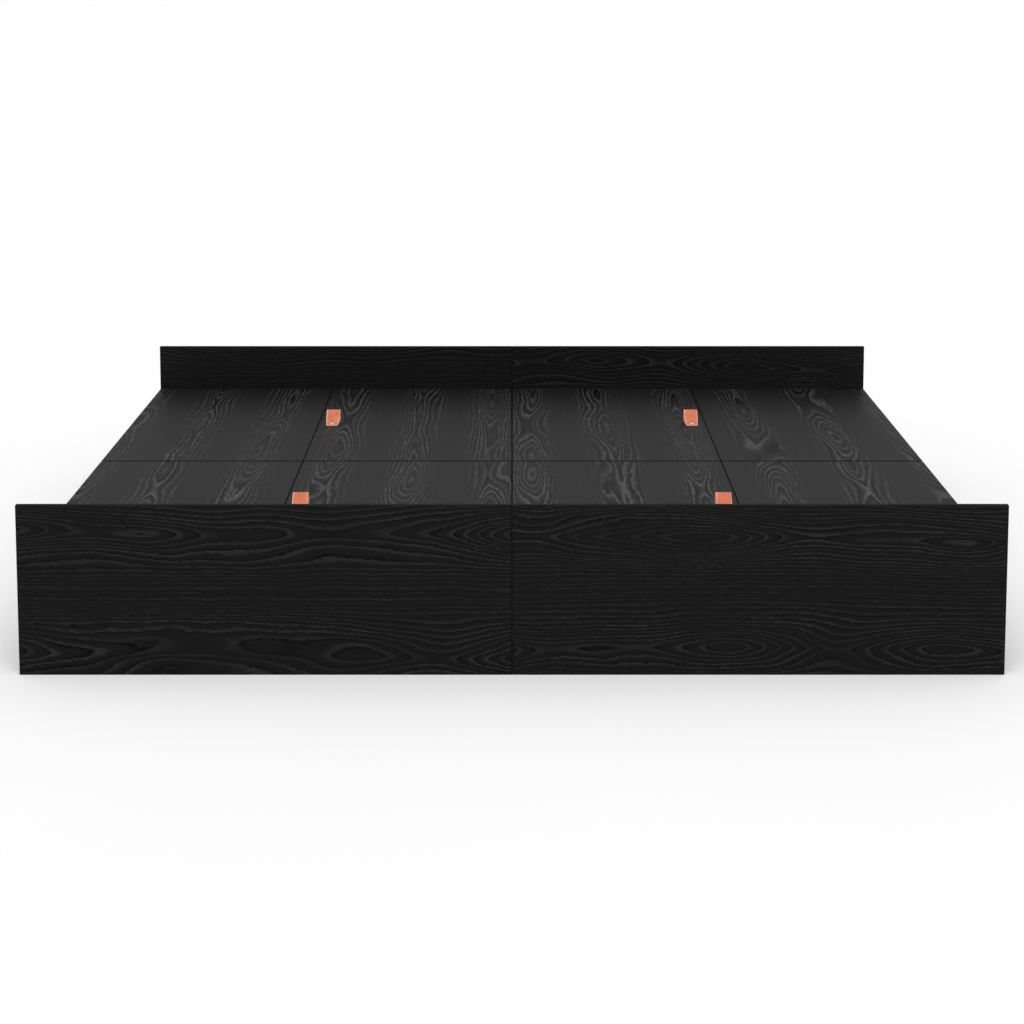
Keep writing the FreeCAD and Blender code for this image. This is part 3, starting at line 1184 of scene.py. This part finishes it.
@dataclass(frozen=True)
class PanHead:
    """Pan head of a screw with a cross recess.

    Attributes:
        radius: radius of the head.
        height: height of the head over what it clamps.
        recess: depth of the cross.
        bar: half width of the cross's bars.
        rings: rings of points on the flat middle and on the round rim.
        spokes: points in a ring.
        rim: share of the radius where the head starts to turn down.
        brim: share of the height that the rim's foot stands straight up.
        crown: share of the height that the dome adds in the middle.
        reach: half length of the cross's bars, as a share of the radius.
    """

    radius: float
    height: float
    recess: float
    bar: float
    rings: tuple[int, int] = (5, 4)
    spokes: int = 24
    rim: float = 0.62
    brim: float = 0.2
    crown: float = 0.12
    reach: float = 0.55

    def shape(
        self, base: Sequence[float], axis: Axis, sign: float, turn: float, slot: int = 0
    ) -> Shape:
        """Return the head as a height over radius and angle.

        The height is a shallow dome, one minus the square of the radius, that falls to
        the rim as a quarter circle, less the cross where either bar covers the point.

        Args:
            base: middle of the head's underside.
            axis: axis that the screw runs along.
            sign: 1 or -1, the way that the head faces.
            turn: angle at which the screw came to rest, in degrees.
            slot: material slot.

        Returns:
            The head.
        """
        middle, edge = self.rings
        fall = np.sin(np.linspace(math.asin(self.rim), math.pi / 2, edge))
        r = np.concatenate([np.linspace(0.04, self.rim, middle), fall[1:], [1.0]])[:, None]
        angle = np.linspace(0, 2 * math.pi, self.spokes, endpoint=False)
        x, y = self.radius * r * np.cos(angle), self.radius * r * np.sin(angle)
        fall = np.clip((r - self.rim) / (1 - self.rim), 0, 1)
        bend = (1 - self.brim - self.crown) * np.sqrt(1 - fall**2)
        dome = self.height * (self.brim + bend + self.crown * (1 - r**2))
        dome[-1] = 0.0
        cosine, sine = math.cos(math.radians(turn)), math.sin(math.radians(turn))
        bars = np.abs([x * cosine + y * sine, y * cosine - x * sine])
        wall = np.clip((self.bar - bars.min(axis=0)) / (0.4 * self.bar), 0, 1)
        wall *= np.clip((self.reach * self.radius - bars.max(axis=0)) / self.bar, 0, 1)
        local = np.stack([x, y, dome - self.recess * wall], axis=2)
        return shell(stand(local, base, axis, sign), slot, slot)


@dataclass
class TabScrew:
    """Nickelled screw on the strap's screwed end.

    Attributes:
        end: end of the bed.
        side: side of the bed.
        height: height of the head over the strap.
        cross: depth of the cross recess and half width of its bars.
        rings: rings of points on the head's flat middle and on its rim.
        spokes: points in a ring.
        turn: angle at which the screw came to rest, in degrees.
    """

    end: End
    side: Side
    height: float = 2.0
    cross: tuple[float, float] = (1.1, 0.6)
    rings: tuple[int, int] = (26, 10)
    spokes: int = 96
    turn: float = 22.0

    def build(self) -> None:
        """Build the head on top of its solid's place."""
        name = quarter(self.end, self.side)
        low, high = node_box(f"tab_screw_{name}")
        centre = (low + high) / 2
        radius = (high[0] - low[0]) / 2
        head = PanHead(radius, self.height, *self.cross, self.rings, self.spokes)
        base = (centre[0], centre[1], high[2] - self.height)
        shape = head.shape(base, Axis.Z, 1, self.turn * self.side.value)
        piece = make_piece(f"screw_head_{name}", [shape], (NICKEL,))
        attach(piece, f"storage_lid_{name}")
        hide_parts(f"tab_screw_{name}")
        LOG.info("%s made", piece.name)


@dataclass(frozen=True)
class RollerRunner:
    """Runner of one drawer side: a channel on the carcase and an angle under the side.

    Heights are measured from the lower edge of the drawer's side.

    Attributes:
        steel: thickness of the folded sheet.
        lip: how far the channel's two lips stand out from its web.
        length: length of the channel.
        web_foot: lower edge of the channel's web.
        lip_drop: how far the channel's lower lip lies down.
        play: how much higher than the rear roller the channel is inside.
        flange: height of the angle's upright leg.
        foot: width of the angle's leg under the side.
        front_roller: radius of the channel's roller.
        rear_roller: radius of the angle's roller.
        front_reach: how far off the wall the channel's roller starts and ends.
        rear_reach: how far off the drawer's side the angle's roller starts and ends.
        ease: rounding of a roller's edges.
        dish: depth of a roller's dished face.
        axle: radius of both axles.
        bend: radius of the sheet's outer bends.
        edge: radius of the sheet's cut edges.
        rivet: how far the rivet's foot lies below the roller's face.
        gaps: air over the front roller and under the rear one.
        setbacks: distance of the front and rear axle from the sheet's end.
        channel_screws: places of the channel's screws, as shares of its length.
        angle_screws: places of the angle's screws, as shares of the same length.
        screw_rise: height of the angle's screws over the drawer side's lower edge.
        screw: head of the screws.
    """

    steel: float = 1.2
    lip: float = 8.5
    length: float = 390.0
    web_foot: float = -20.0
    lip_drop: float = 6.0
    play: float = 1.5
    flange: float = 30.0
    foot: float = 12.0
    front_roller: float = 9.0
    rear_roller: float = 11.0
    axle: float = 3.0
    bend: float = 1.4
    front_reach: tuple[float, float] = (12.0, 20.5)
    rear_reach: tuple[float, float] = (3.2, 9.7)
    ease: float = 0.8
    dish: float = 1.2
    edge: float = 0.3
    rivet: float = 0.3
    gaps: tuple[float, float] = (0.3, 0.5)
    setbacks: tuple[float, float] = (13.5, 15.0)
    channel_screws: tuple[float, ...] = (0.12, 0.5, 0.9)
    angle_screws: tuple[float, ...] = (0.16, 0.5, 0.9)
    screw_rise: float = 12.0
    screw: PanHead = PanHead(3.4, 0.9, 0.6, 0.5)

    def rolling(
        self,
        place: tuple[float, float],
        face: float,
        way: float,
        reach: tuple[float, float],
        radius: float,
    ) -> list[Shape]:
        """Return an axle and a roller with a dished face, eased edges and a riveted hub.

        The roller's profile is in shares of its radius, from the back of the rim over
        the dish to the rivet in the middle of its face.

        Args:
            place: X and Z of the axle.
            face: Y of the sheet that the axle stands on.
            way: sign of Y away from that sheet.
            reach: how far off the sheet's back the roller starts and ends.
            radius: the roller's radius.

        Returns:
            The axle and the roller.
        """
        width, shoulder = reach[1] - reach[0], 1 - self.ease / radius
        inside, rivet_foot = width - self.dish, width - self.rivet
        rim = [(0.3, 0.0), (shoulder, 0.0), (1.0, self.ease), (1.0, width - self.ease)]
        face_ring = [(shoulder, width), (0.8, width), (0.74, inside), (0.46, inside)]
        rivet = [(0.4, rivet_foot), (0.3, rivet_foot), (0.27, width), (0.04, width)]
        profile = [(share * radius, height) for share, height in rim + face_ring + rivet]
        nylon_bands, steel_bands = len(rim + face_ring) + 1, 2
        slots = [1] * nylon_bands + [2] * steel_bands
        base = (place[0], face + way * reach[0], place[1])
        roller = turned(profile, base, Axis.Y, way, slots)
        base = (place[0], face + way * self.steel, place[1])
        stub = [(self.axle, 0.0), (self.axle, reach[0] - self.steel)]
        return [turned(stub, base, Axis.Y, way, 2), roller]

    def screws(
        self, spots: Sequence[float], face: float, way: float, height: float
    ) -> list[Shape]:
        """Return flat screw heads on a sheet.

        Args:
            spots: X of each screw.
            face: Y of the sheet's back.
            way: sign of Y that the heads face.
            height: Z of the screws.

        Returns:
            The heads, no two turned alike.
        """
        return [
            self.screw.shape((x, face + way * self.steel, height), Axis.Y, way, 31.0 * n, 2)
            for n, x in enumerate(spots)
        ]

    def sheet(
        self,
        fold: Sequence[tuple[float, float]],
        radii: Sequence[float],
        face: float,
        way: float,
        ends: tuple[float, float],
    ) -> Shape:
        """Return a folded sheet along X.

        Args:
            fold: corners of the section, as distance from the face and Z.
            radii: radius at each of them.
            face: Y of the sheet's back.
            way: sign of Y away from it.
            ends: X of the sheet's two ends.

        Returns:
            The sheet, with no grain on it.
        """
        outline = fillet(np.array(fold), np.array(radii), 4)
        outline[:, 0] = face + way * outline[:, 0]
        made = plate(outline, Axis.X, min(ends), max(ends), Axis.X, 0)
        return replace(made, uv=None)

    def channel(self, wall: float, way: float, under: float, front: float) -> list[Shape]:
        """Return the carcase's half with the front roller that carries the drawer.

        Args:
            wall: Y of the carcase's wall.
            way: sign of Y from the wall towards the drawer.
            under: Z of the lower edge of the drawer's side.
            front: X of the channel's front end.

        Returns:
            The folded sheet, the axle, the roller and the screws.
        """
        out, s, brink = math.copysign(1.0, front), self.steel, self.steel + self.lip
        foot, low = under + self.web_foot, under - self.lip_drop
        top = low + s + 2 * self.rear_roller + self.play
        fold = [(0, foot), (s, foot), (s, low), (brink, low), (brink, low + s)]
        fold += [(s, low + s), (s, top), (brink, top), (brink, top + s), (0, top + s)]
        radii = [self.edge] * (len(fold) - 1) + [self.bend]
        sheet = self.sheet(fold, radii, wall, way, (front, front - out * self.length))
        setback, gap = self.setbacks[0], self.gaps[0]
        place = (front - out * setback, under - s - self.front_roller - gap)
        spots = [front - out * share * self.length for share in self.channel_screws]
        return [
            sheet,
            *self.rolling(place, wall, way, self.front_reach, self.front_roller),
            *self.screws(spots, wall, way, low + s + self.rear_roller),
        ]

    def angle(
        self, face: float, way: float, under: float, rear: float, front: float
    ) -> list[Shape]:
        """Return the drawer's half with the rear roller that runs in the channel.

        Args:
            face: Y of the drawer side's outer face.
            way: sign of Y from that face towards the carcase's wall.
            under: Z of the lower edge of the drawer's side.
            rear: X of the angle's rear end.
            front: X of its front end.

        Returns:
            The folded sheet, the axle, the roller and the screws.
        """
        out, s, top = math.copysign(1.0, front), self.steel, under + self.flange
        fold = [(-self.foot, under - s), (s, under - s), (s, top)]
        fold += [(0, top), (0, under), (-self.foot, under)]
        radii = [self.edge, self.bend] + [self.edge] * (len(fold) - 2)
        setback, gap = self.setbacks[1], self.gaps[1]
        middle = under - self.lip_drop + s + self.rear_roller + gap
        place = (rear + out * setback, middle)
        spots = [rear + out * share * self.length for share in self.angle_screws]
        return [
            self.sheet(fold, radii, face, way, (rear, front)),
            *self.rolling(place, face, way, self.rear_reach, self.rear_roller),
            *self.screws(spots, face, way, under + self.screw_rise),
        ]


@dataclass(frozen=True)
class AngleBracket:
    """Folded steel angle in a corner of a compartment, held by four screws.

    Attributes:
        leg: length of each leg.
        height: height of the angle.
        steel: thickness of the sheet.
        corner: radius of the legs' free corners.
        bend: radius of the outer bend.
        inner_bend: radius of the inner bend.
        edge: radius of the sheet's cut edges.
        screw_out: distance of the screws from the corner, as a share of the leg.
        screw_up: heights of the screws, as shares of the height.
        screw: head of the screws.
    """

    leg: float = 30.0
    height: float = 40.0
    steel: float = 2.0
    corner: float = 5.0
    bend: float = 2.5
    inner_bend: float = 0.5
    edge: float = 0.3
    screw_out: float = 0.62
    screw_up: tuple[float, ...] = (0.25, 0.75)
    screw: PanHead = PanHead(3.6, 1.6, 0.9, 0.5)

    def shapes(self, x: float, y: float, way: tuple[float, float], foot: float) -> list[Shape]:
        """Return the angle and its screws.

        The L-shaped outline is carried upwards. Near both ends its two legs are cut
        short by a quarter circle, which rounds the four free corners.

        Args:
            x: X of the corner.
            y: Y of the corner.
            way: signs of X and Y from the corner into the compartment.
            foot: Z of the lower end.

        Returns:
            The folded sheet and the four heads.
        """
        leg, s, edge = self.leg, self.steel, self.edge
        fold = np.array([(0, 0), (leg, 0), (leg, s), (s, s), (s, leg), (0, leg)], dtype=float)
        radii = np.array([self.bend, edge, edge, self.inner_bend, edge, edge])
        outline = fillet(fold, radii, 4)
        turn = np.linspace(0, math.pi / 2, 7)
        rise, short = self.corner * (1 - np.cos(turn)), self.corner * (1 - np.sin(turn))
        height = np.concatenate([rise, self.height - rise[::-1]])
        short = np.concatenate([short, short[::-1]])[:, None, None]
        legs = outline - short * (outline > leg / 2)
        z = np.broadcast_to(height[:, None, None], (*legs.shape[:2], 1))
        grid = np.concatenate([legs * way, z], axis=2) + np.array([x, y, foot])
        made, out = [shell(grid)], self.screw_out * leg
        for share in self.screw_up:
            z = foot + share * self.height
            spot = (x + way[0] * out, y + way[1] * s, z)
            made.append(self.screw.shape(spot, Axis.Y, way[1], 70 * share, 1))
            spot = (x + way[0] * s, y + way[1] * out, z)
            made.append(self.screw.shape(spot, Axis.X, way[0], 130 * share, 1))
        return made


@dataclass
class StorageLid:
    """Lift-off lid with its leather loop and screw.

    Attributes:
        end: end of the bed.
        side: side of the bed.
        cut: cut of the foil's roll for the panel.
    """

    end: End
    side: Side
    cut: int

    def build(self) -> None:
        """Build the lid's panel, loop and screw."""
        name = quarter(self.end, self.side)
        body = f"storage_lid_{name}"
        arches_at = LID_ARCHES[self.side]
        Board(f"lid_{name}", body, Axis.Z, Axis.Y, self.cut, arches_at, DECK_FOIL_PAINTED_SHEEN).build()
        PullTab(self.end, self.side).build()
        TabScrew(self.end, self.side).build()


@dataclass
class Drawer:
    """One drawer: a new front and roller angles, and its box dressed.

    Attributes:
        end: end of the bed.
        side: side of the bed.
        cut: cut of the foil's roll for the front.
    """

    end: End
    side: Side
    cut: int

    def build(self, nodes: Mapping[str, bpy.types.Object]) -> None:
        """Build the front and dress the box.

        Args:
            nodes: the frame's objects by node.
        """
        name = quarter(self.end, self.side)
        front, body = f"drawer_front_{name}", f"drawer_{name}"
        DrawerFront(front, body, Axis.X, Axis.Y, self.cut, FRONT_ARCHES).build()
        dress(nodes[f"drawer_back_{name}"], CARCASE_FOIL_Y)
        dress(nodes[f"drawer_mid_side_{name}"], CARCASE_FOIL_X)
        dress(nodes[f"drawer_end_side_{name}"], CARCASE_FOIL_X)
        dress(nodes[f"drawer_bottom_{name}"], SHEET)
        self.build_angles(name)

    def build_angles(self, name: str) -> None:
        """Build the two angles with their rollers under the drawer's sides.

        Args:
            name: ending of the drawer's names.
        """
        low, high = node_box(f"drawer_runners_{name}")
        rear, front = sorted((low[0], high[0]), key=abs)
        shapes = []
        for board, way in (("mid", -self.end.value), ("end", self.end.value)):
            corners = node_box(f"drawer_{board}_side_{name}")
            face = max(corner[1] * way for corner in corners) * way
            shapes += RollerRunner().angle(face, way, corners[0][2], rear, front)
        piece = make_piece(f"roller_angles_{name}", shapes, (POWDER, NYLON, ZINC))
        soften(piece, METAL_ROUND, 1)
        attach(piece, f"drawer_{name}")
        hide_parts(f"drawer_runners_{name}")
        LOG.info("%s made", piece.name)


@dataclass
class Carcase:
    """The boards under the deck, which keep their solids, with battens and metal on them.

    Attributes:
        batten: side of the battens' square section.
        batten_round: radius of the battens' edges.
    """

    batten: float = 20.0
    batten_round: float = 1.2

    def build(self, nodes: Mapping[str, bpy.types.Object]) -> None:
        """Dress every board of the carcase, then add battens, channels and brackets.

        Args:
            nodes: the frame's objects by node.
        """
        for end in End:
            dress(nodes[f"spine_panel_{end.name.lower()}"], CARCASE_FOIL_Y)
            for side in Side:
                dress(nodes[f"partition_{quarter(end, side)}"], CARCASE_FOIL_Y)
                dress(nodes[f"compartment_base_{quarter(end, side)}"], SHEET)
        for place in ("left", "centre", "right"):
            dress(nodes[f"cross_panel_{place}"], CARCASE_FOIL_X)
        battens, channels, brackets = [], [], []
        for end in End:
            for side in Side:
                battens += self.battens(end, side)
                channels += self.channels(end, side)
                brackets += self.brackets(end, side)
        self.fit("planed_battens", battens, (PINE,), "support_battens", self.batten_round)
        self.fit("roller_channels", channels, (POWDER, NYLON, ZINC), "cabinet_runners", METAL_ROUND)
        self.fit("folded_brackets", brackets, (ZINC, NICKEL), "corner_brackets", METAL_ROUND)

    def fit(
        self,
        name: str,
        shapes: Sequence[Shape],
        finishes: Sequence[Finish],
        node: str,
        edge: float,
    ) -> None:
        """Make one piece of the shapes and let it ride on the frame in place of a node.

        Args:
            name: the piece's name.
            shapes: its shapes.
            finishes: one finish per material slot.
            node: the node that it stands for.
            edge: radius of its edges.
        """
        piece = make_piece(name, shapes, finishes)
        soften(piece, edge, 1)
        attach(piece, "frame")
        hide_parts(node)
        LOG.info("%s made of %d shapes", name, len(shapes))

    def battens(self, end: End, side: Side) -> list[Shape]:
        """Return one quarter's battens: two on the floor, five under the deck.

        They are laid out in the head end's right quarter and mirrored into the others.

        Args:
            end: end of the bed.
            side: side of the bed.

        Returns:
            The battens.
        """
        wood = self.batten
        spine = node_box("spine_panel_head")[1][0]
        inner, outer = (corner[0] for corner in node_box("partition_head_right"))
        mid = node_box("cross_panel_centre")[1][1]
        far = node_box("head_board_right")[0][1]
        rail, top = node_box("support_battens")[1][[0, 2]]
        deck = top - wood
        long = [
            ((spine, mid), (spine + wood, far), 0.0),
            ((inner - wood, mid), (inner, far), 0.0),
            ((rail - wood, mid), (rail, far), deck),
        ]
        short = [
            ((x0, y0), (x1, y0 + wood), deck)
            for y0 in (mid, far - wood)
            for x0, x1 in ((spine, inner), (outer, rail - wood))
        ]
        sign = np.array([side.value, end.value])
        made = []
        for n, (near, away, floor) in enumerate(long + short):
            corners = np.sort(np.array([near, away]) * sign, axis=0)
            along = Axis.Y if n < len(long) else Axis.X
            shift = (310.0 * n, 170.0 * n + 45.0 * (side.value + 2 * end.value))
            span = (floor, floor + wood)
            made.append(plate(rectangle(*corners), Axis.Z, *span, along, 0, shift))
        return made

    def channels(self, end: End, side: Side) -> list[Shape]:
        """Return the channels on the two walls of one drawer's bay.

        Args:
            end: end of the bed.
            side: side of the bed.

        Returns:
            The channels, rollers and screws.
        """
        front = node_box("cabinet_runners")[1][0] * side.value
        under = node_box(f"drawer_mid_side_{quarter(end, side)}")[0][2]
        mid = node_box(f"cross_panel_{side.name.lower()}")[1][1] * end.value
        far = node_box("head_board_right")[0][1] * end.value
        runner = RollerRunner()
        made = runner.channel(mid, end.value, under, front)
        return made + runner.channel(far, -end.value, under, front)

    def brackets(self, end: End, side: Side) -> list[Shape]:
        """Return the brackets in the four corners of one compartment.

        Args:
            end: end of the bed.
            side: side of the bed.

        Returns:
            The brackets and screws.
        """
        foot = node_box("corner_brackets")[0][2]
        spine = node_box("spine_panel_head")[1][0]
        inner = node_box("partition_head_right")[0][0]
        mid = node_box("cross_panel_centre")[1][1]
        far = node_box("head_board_right")[0][1]
        made = []
        for x, x_way in ((spine, side.value), (inner, -side.value)):
            for y, y_way in ((mid, end.value), (far, -end.value)):
                way = (x_way, y_way)
                made += AngleBracket().shapes(x * side.value, y * end.value, way, foot)
        return made


def dress(node: bpy.types.Object, finish: Finish) -> None:
    """Give a carried-over solid a finish.

    Args:
        node: the solid's object.
        finish: the finish for all of it.
    """
    node.data.materials.clear()
    node.data.materials.append(finish.material())
    LOG.info("%s dressed in %s", node.name, finish.label)


@dataclass
class Studio:
    """Pale floor, soft light and the camera at the foot of the bed.

    Attributes:
        eye: the camera's place.
        tilt: how far the camera looks down, in degrees.
        lens: focal length on a 36 mm sensor.
        rise: vertical shift of the lens, as a share of the picture.
        floor_reach: half the floor's side.
        dome: strength of the white sky dome.
        sun: strength of the soft overhead light.
        sun_spread: angle that the light fills, in degrees, which softens its shadows.
        sun_lean: how far it leans from overhead towards the foot, in degrees.
    """

    eye: tuple[float, float, float] = (0.0, -5779.0, 1315.0)
    tilt: float = 8.36
    lens: float = 92.5
    rise: float = -0.16
    floor_reach: float = 150_000.0
    dome: float = 0.68
    sun: float = 1.75
    sun_spread: float = 60.0
    sun_lean: float = 47.0

    def build(self) -> None:
        """Make the floor, the lights and the camera."""
        self.floor()
        self.lights()
        self.camera()

    def floor(self) -> None:
        """Make the pale floor as one wide square."""
        reach = self.floor_reach
        corners = rectangle((-reach, -reach), (reach, reach))
        points = np.column_stack([corners, np.zeros(4)])
        ground = Shape(points, np.arange(4), np.array([4]), np.array([0]))
        floor = make_piece("studio_floor", [ground], (FLOOR_PAINT,))

    def lights(self) -> None:
        """Make the sky dome and the soft overhead light."""
        world = bpy.data.worlds.new("soft_dome")
        bpy.context.scene.world = world
        world.use_nodes = True
        dome = world.node_tree.nodes["Background"]
        dome.inputs["Color"].default_value = (1.0, 1.0, 1.0, 1.0)
        dome.inputs["Strength"].default_value = self.dome
        sun = bpy.data.lights.new("overhead_softbox", "SUN")
        sun.energy = self.sun
        sun.angle = math.radians(self.sun_spread)
        lamp = bpy.data.objects.new("overhead_softbox", sun)
        lamp.rotation_euler = (math.radians(self.sun_lean), 0, 0)
        bpy.context.scene.collection.objects.link(lamp)

    def camera(self) -> None:
        """Make the camera and choose plain colour."""
        camera = bpy.data.cameras.new("foot_camera")
        camera.lens = self.lens
        camera.shift_y = self.rise
        camera.clip_end = 400.0
        eye = bpy.data.objects.new("foot_camera", camera)
        eye.location = [value * MM for value in self.eye]
        eye.rotation_euler = (math.radians(90 - self.tilt), 0, 0)
        bpy.context.scene.collection.objects.link(eye)
        bpy.context.scene.camera = eye
        bpy.context.scene.view_settings.view_transform = "Standard"


def main() -> None:
    """Load the frame and build every sub-assembly in order."""
    logging.basicConfig(level=logging.INFO, format="%(name)s: %(message)s")
    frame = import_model()
    Studio().build()
    cut = 1
    for side in Side:
        for end in End:
            board = f"{end.name.lower()}_board_{side.name.lower()}"
            arches_at = END_ARCHES[end, side]
            EndBoard(board, "frame", Axis.Y, Axis.X, cut, arches_at).build()
            panel, arches_at = f"deck_panel_{quarter(end, side)}", PANEL_ARCHES[side]
            Board(panel, "frame", Axis.Z, Axis.Y, cut + 1, arches_at, DECK_FOIL_PAINTED_SHEEN).build()
            StorageLid(end, side, cut + 2).build()
            Drawer(end, side, cut + 3).build(frame["nodes"])
            cut += 4
    Carcase().build(frame["nodes"])


if __name__ == "__main__":
    main()
